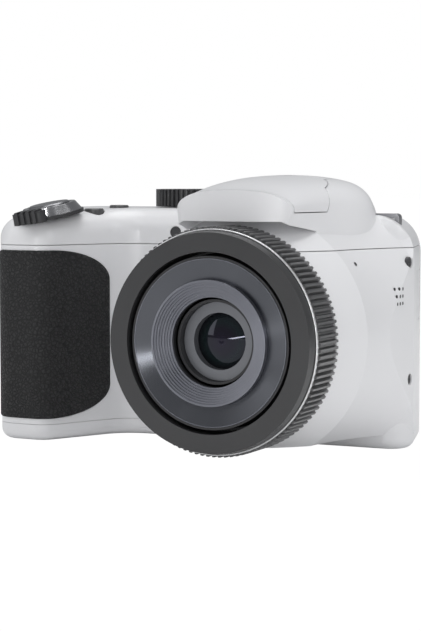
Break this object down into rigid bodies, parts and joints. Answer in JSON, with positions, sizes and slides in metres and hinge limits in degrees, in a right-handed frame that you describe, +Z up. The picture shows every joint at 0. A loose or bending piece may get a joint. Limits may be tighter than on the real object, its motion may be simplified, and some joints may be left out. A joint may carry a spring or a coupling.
{
  "type": "bridge camera",
  "caption": "Bridge camera with a superzoom lens in a flared housing, rubber grip, pop-up flash hump, mode dial, shutter release with zoom lever, rear screen and keys.",
  "frame": {"origin": "mouth of the tripod socket on the base plane", "axes": "+Z up, -Y out of the lens, +X across the body away from the grip"},
  "size_m": [0.1216, 0.0847, 0.0772],
  "materials": {
    "body_white": "semi-gloss white shell",
    "soft_white": "soft white flap",
    "grip_rubber": "black leather-grain rubber",
    "steel": "bare metal",
    "dark_steel": "blackened steel",
    "lug_metal": "satin grey metal",
    "inner_black": "matt black",
    "lamp_lens": "clear",
    "lamp_dark": "smoked window",
    "ring_black": "satin black",
    "chrome_line": "bright line",
    "knurl_black": "matt black, ribbed",
    "barrel_black": "satin black",
    "bowl_gloss": "glossy blue-black",
    "step_grey": "matt grey",
    "retainer_grey": "satin grey",
    "lens_glass": "coated glass",
    "sensor": "covered sensor",
    "circuit_board": "green board",
    "control_black": "semi-gloss black",
    "collar_metal": "dark satin metal",
    "button_metal": "satin metal",
    "button_grey": "dark grey",
    "screen_glass": "dark window",
    "panel_dark": "display panel",
    "cell_wrap": "wrapped cell",
    "card_blue": "memory card"
  },
  "bodies": {
    "camera": {"front_cover": "body_white", "top_cover": "body_white", "rear_cover": "body_white", "base_cover": "body_white", "grip_rubber": "grip_rubber", "thumb_rest": "grip_rubber", "flash_hinge_pin": "steel", "door_hinge_pin": "steel", "side_screws": "dark_steel", "tripod_socket": "steel", "strap_lugs": "lug_metal", "usb_port": "steel", "chassis_plate": "steel", "zoom_motor": "steel", "focus_lamp": "lamp_dark", "lens_name_ring": "ring_black", "lens_line_ring": "chrome_line", "knurled_ring": "knurl_black", "fixed_barrel": "inner_black", "rear_lens": "lens_glass", "lens_mount": "inner_black", "image_sensor": "sensor", "sensor_board": "circuit_board", "main_board": "circuit_board", "pad_board": "circuit_board", "dial_switch": "inner_black", "screen_window": "screen_glass", "lcd_panel": "panel_dark", "aa_cells": "cell_wrap", "battery_box": "inner_black", "memory_card": "card_blue", "card_slot": "steel"},
    "zoom_tube": {"zoom_barrel": "barrel_black", "front_bowl_ring": "bowl_gloss", "stepped_ring": "step_grey"},
    "inner_tube": {"inner_barrel": "barrel_black", "lens_retainer": "retainer_grey", "front_lens": "lens_glass"},
    "cam": {"cam_ring": "inner_black"},
    "flash": {"flash_cover": "body_white", "flash_head": "inner_black", "flash_window": "lamp_lens", "flash_tube": "lamp_lens"},
    "dial": {"mode_dial": "control_black"},
    "lever": {"zoom_lever": "control_black", "shutter_collar": "collar_metal"},
    "release": {"shutter_button": "button_metal"},
    "burst": {"burst_button": "button_grey"},
    "power": {"power_button": "button_grey"},
    "menu": {"menu_button": "control_black"},
    "play": {"play_button": "control_black"},
    "delete": {"delete_button": "control_black"},
    "display": {"display_button": "control_black"},
    "record": {"record_button": "control_black"},
    "pad": {"four_way_pad": "control_black"},
    "set": {"set_button": "control_black"},
    "door": {"battery_door": "body_white", "door_springs": "steel"},
    "latch": {"battery_latch": "control_black"},
    "flap": {"port_cover": "soft_white"}
  },
  "joints": [
    {"name": "zoom_slide", "type": "slide", "parent": "camera", "child": "zoom_tube", "axis": [0, -1, 0], "range_m": [0, 0.022]},
    {"name": "inner_slide", "type": "slide", "parent": "zoom_tube", "child": "inner_tube", "axis": [0, -1, 0], "range_m": [0, 0.009]},
    {"name": "cam_turn", "type": "hinge", "parent": "camera", "child": "cam", "pos_m": [0, -0.04, 0.0334], "axis": [0, 1, 0], "range_deg": [0, 75]},
    {"name": "flash_hinge", "type": "hinge", "parent": "camera", "child": "flash", "pos_m": [0, -0.0186, 0.0742], "axis": [-1, 0, 0], "range_deg": [0, 55]},
    {"name": "mode_dial_turn", "type": "hinge", "parent": "camera", "child": "dial", "pos_m": [-0.0402, 0.001, 0.07], "axis": [0, 0, 1], "continuous": true},
    {"name": "zoom_lever_turn", "type": "hinge", "parent": "camera", "child": "lever", "pos_m": [-0.0676, -0.0352, 0.0658], "axis": [-0.1219, -0.1553, 0.9803], "range_deg": [-15, 15], "stiffness_Nm_per_rad": 0.02},
    {"name": "release_press", "type": "slide", "parent": "camera", "child": "release", "axis": [0.1219, 0.1553, -0.9803], "range_m": [0, 0.001], "stiffness_N_per_m": 300, "springref_m": -0.001},
    {"name": "burst_press", "type": "slide", "parent": "camera", "child": "burst", "axis": [0, 0, -1], "range_m": [0, 0.0004], "stiffness_N_per_m": 150, "springref_m": -0.001},
    {"name": "power_press", "type": "slide", "parent": "camera", "child": "power", "axis": [0, 0, -1], "range_m": [0, 0.0004], "stiffness_N_per_m": 150, "springref_m": -0.001},
    {"name": "menu_press", "type": "slide", "parent": "camera", "child": "menu", "axis": [0, -1, 0], "range_m": [0, 0.0004], "stiffness_N_per_m": 150, "springref_m": -0.001},
    {"name": "play_press", "type": "slide", "parent": "camera", "child": "play", "axis": [0, -1, 0], "range_m": [0, 0.0004], "stiffness_N_per_m": 150, "springref_m": -0.001},
    {"name": "delete_press", "type": "slide", "parent": "camera", "child": "delete", "axis": [0, -1, 0], "range_m": [0, 0.0004], "stiffness_N_per_m": 150, "springref_m": -0.001},
    {"name": "display_press", "type": "slide", "parent": "camera", "child": "display", "axis": [0, -1, 0], "range_m": [0, 0.0004], "stiffness_N_per_m": 150, "springref_m": -0.001},
    {"name": "record_press", "type": "slide", "parent": "camera", "child": "record", "axis": [0, -1, 0], "range_m": [0, 0.0004], "stiffness_N_per_m": 150, "springref_m": -0.001},
    {"name": "pad_press", "type": "slide", "parent": "camera", "child": "pad", "axis": [0, -1, 0], "range_m": [0, 0.0004], "stiffness_N_per_m": 150, "springref_m": -0.001},
    {"name": "set_press", "type": "slide", "parent": "camera", "child": "set", "axis": [0, -1, 0], "range_m": [0, 0.0004], "stiffness_N_per_m": 150, "springref_m": -0.001},
    {"name": "battery_door_hinge", "type": "hinge", "parent": "camera", "child": "door", "pos_m": [-0.05025, -0.0017, 0.0011], "axis": [0, -1, 0], "range_deg": [0, 90]},
    {"name": "battery_latch_slide", "type": "slide", "parent": "door", "child": "latch", "axis": [1, 0, 0], "range_m": [0, 0.003]},
    {"name": "port_cover_hinge", "type": "hinge", "parent": "camera", "child": "flap", "pos_m": [0.03011, 0.00796, 0.043], "axis": [0, 0, 1], "range_deg": [0, 90]}
  ],
  "couplings": [
    {"joint": "inner_slide", "follows": "zoom_slide", "ratio": 0.40909},
    {"joint": "cam_turn", "follows": "zoom_slide", "rad_per_m": 59.5}
  ]
}
